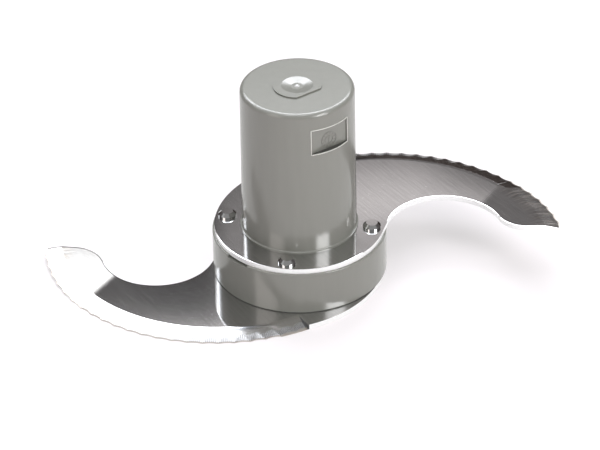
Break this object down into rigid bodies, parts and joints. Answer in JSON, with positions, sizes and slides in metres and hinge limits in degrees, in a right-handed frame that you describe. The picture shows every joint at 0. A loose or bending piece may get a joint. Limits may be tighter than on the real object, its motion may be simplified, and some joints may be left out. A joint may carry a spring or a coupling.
{
  "type": "food processor blade",
  "caption": "S-shaped chopping blade for a food processor: sickle knives with a scalloped ground edge riveted to a hollow moulded hub",
  "frame": {"origin": "on the hub axis, in the plane of the underside of the lower blade, where the column bore opens", "axes": "Z is the hub axis and points up to the closed top of the hub; +X points towards the upper blade's tip and Y completes the right-handed frame"},
  "size_m": [0.1826, 0.0926, 0.0759],
  "materials": {
    "hub_plastic": "grey moulded plastic with a satin gloss",
    "blade_steel": "stainless steel, brushed plate with a ground bevel",
    "rivet_steel": "polished stainless steel"
  },
  "bodies": {
    "root": {"hub": "hub_plastic", "upper_blade": "blade_steel", "lower_blade": "blade_steel", "rivet_1": "rivet_steel", "rivet_2": "rivet_steel", "rivet_3": "rivet_steel", "rivet_4": "rivet_steel"}
  },
  "joints": []
}
